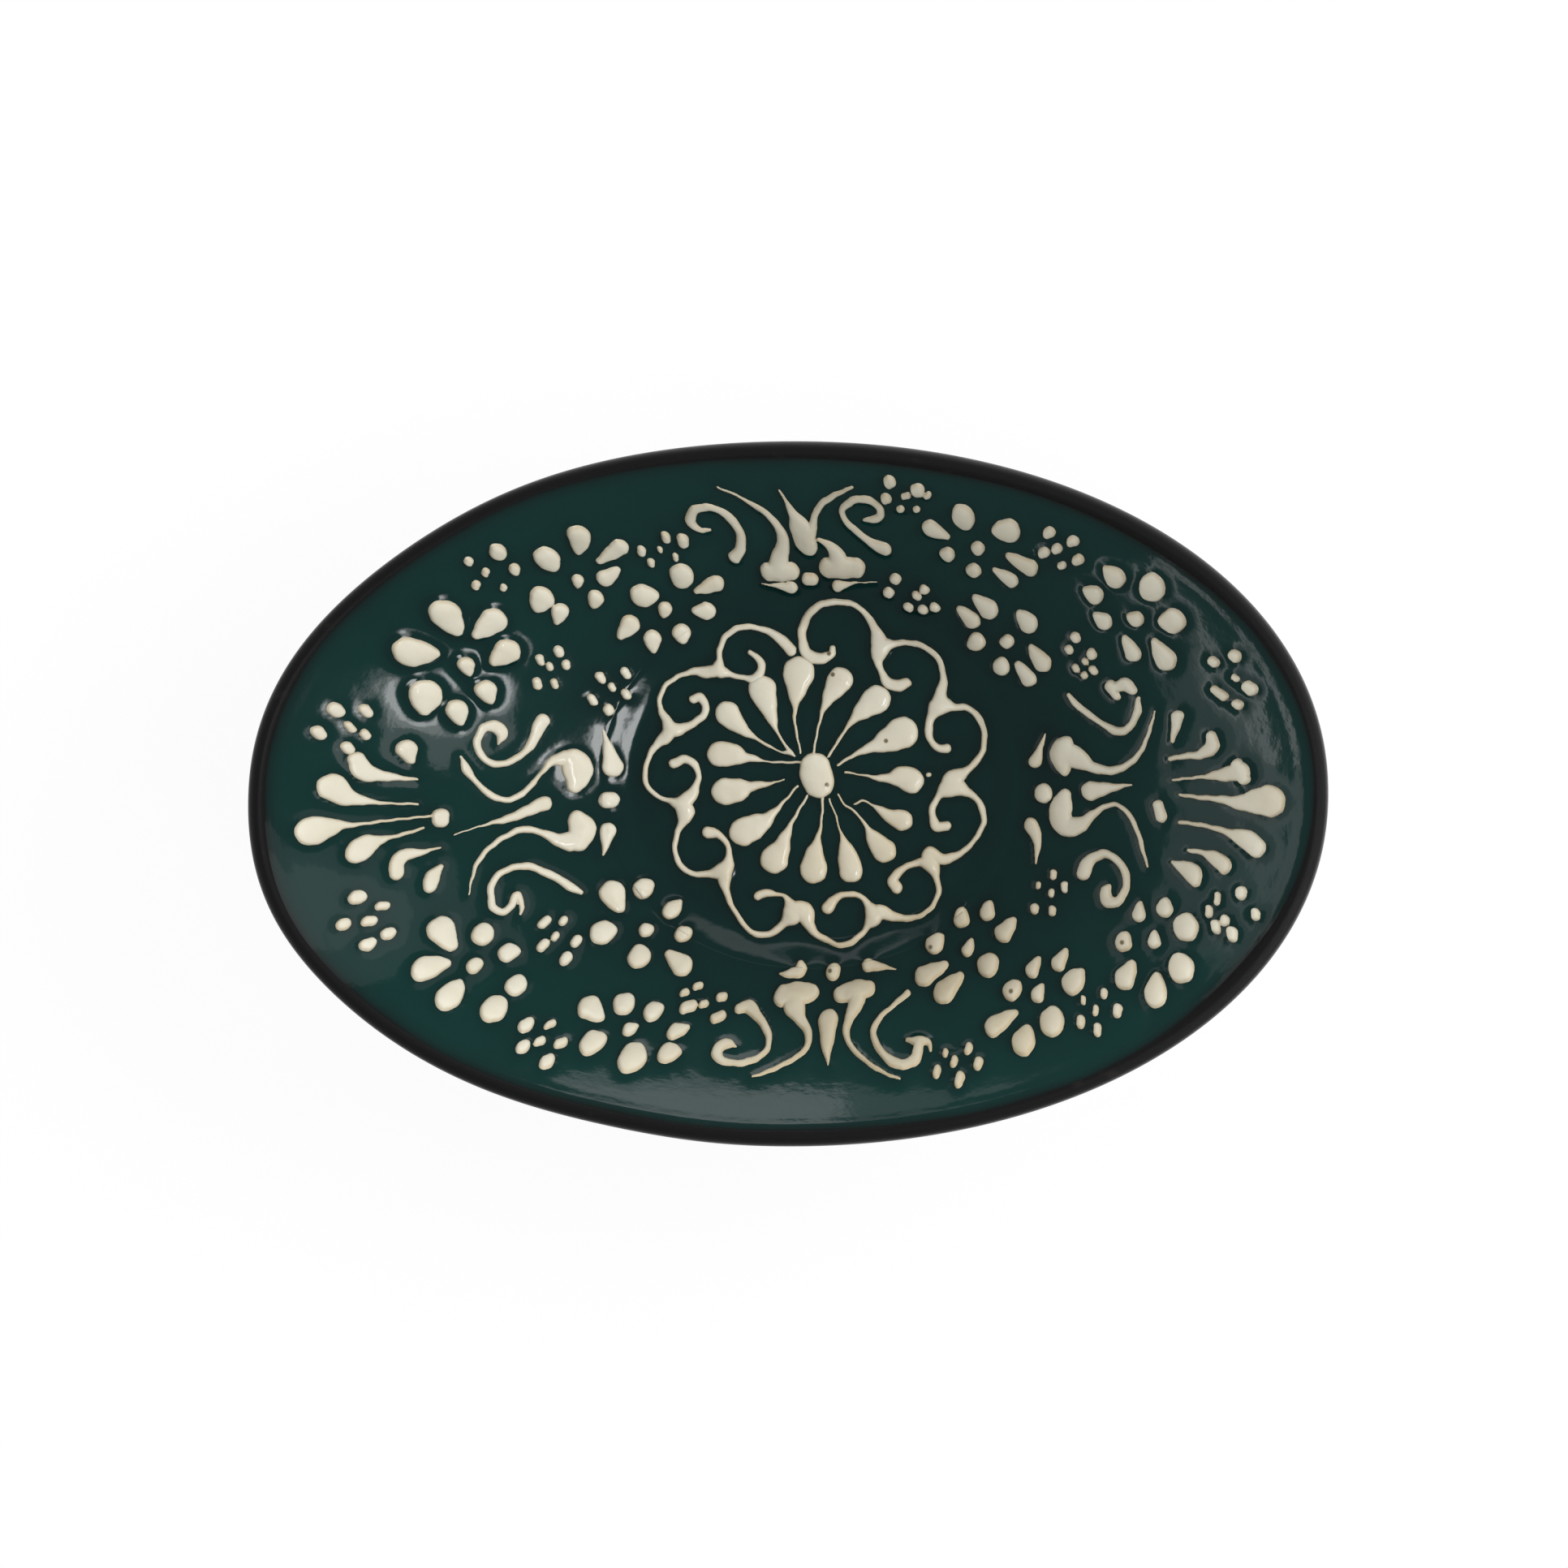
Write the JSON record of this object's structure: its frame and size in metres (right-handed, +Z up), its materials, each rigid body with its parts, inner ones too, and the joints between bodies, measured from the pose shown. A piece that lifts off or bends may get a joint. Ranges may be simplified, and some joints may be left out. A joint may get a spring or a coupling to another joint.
{
  "type": "oval bowl",
  "caption": "Oval footed serving bowl in green-glazed ceramic with a black lip and raised cream slip flowers inside.",
  "frame": {"origin": "middle of the bowl's box, on the plane the foot ring stands on", "axes": "+X along the oval's long way, +Y along its short way, +Z up through the mouth"},
  "size_m": [0.1681, 0.109, 0.048],
  "materials": {
    "bare_clay": "bare fired clay, matte",
    "green_glaze": "deep blue-green gloss glaze",
    "black_glaze": "black gloss glaze, hand painted",
    "cream_slip": "cream trailed slip under clear gloss"
  },
  "bodies": {
    "root": {"clay_body": "bare_clay", "inner_glaze": "green_glaze", "outer_glaze": "green_glaze", "rim_band": "black_glaze", "rosette": "cream_slip", "wreath": "cream_slip", "tulip_1": "cream_slip", "tulip_2": "cream_slip", "tulip_3": "cream_slip", "tulip_4": "cream_slip", "scroll_1": "cream_slip", "scroll_2": "cream_slip", "scroll_3": "cream_slip", "scroll_4": "cream_slip", "scroll_5": "cream_slip", "scroll_6": "cream_slip", "scroll_7": "cream_slip", "scroll_8": "cream_slip", "fan_left": "cream_slip", "fan_right": "cream_slip", "flower_01": "cream_slip", "flower_02": "cream_slip", "flower_03": "cream_slip", "flower_04": "cream_slip", "flower_05": "cream_slip", "flower_06": "cream_slip", "flower_07": "cream_slip", "flower_08": "cream_slip", "flower_09": "cream_slip", "flower_10": "cream_slip", "flower_11": "cream_slip", "flower_12": "cream_slip", "dots_01": "cream_slip", "dots_02": "cream_slip", "dots_03": "cream_slip", "dots_04": "cream_slip", "dots_05": "cream_slip", "dots_06": "cream_slip", "dots_07": "cream_slip", "dots_08": "cream_slip", "dots_09": "cream_slip", "dots_10": "cream_slip", "dots_11": "cream_slip", "dots_12": "cream_slip", "dots_13": "cream_slip", "dots_14": "cream_slip", "dots_15": "cream_slip", "dots_16": "cream_slip", "dots_17": "cream_slip", "dots_18": "cream_slip"}
  },
  "joints": []
}
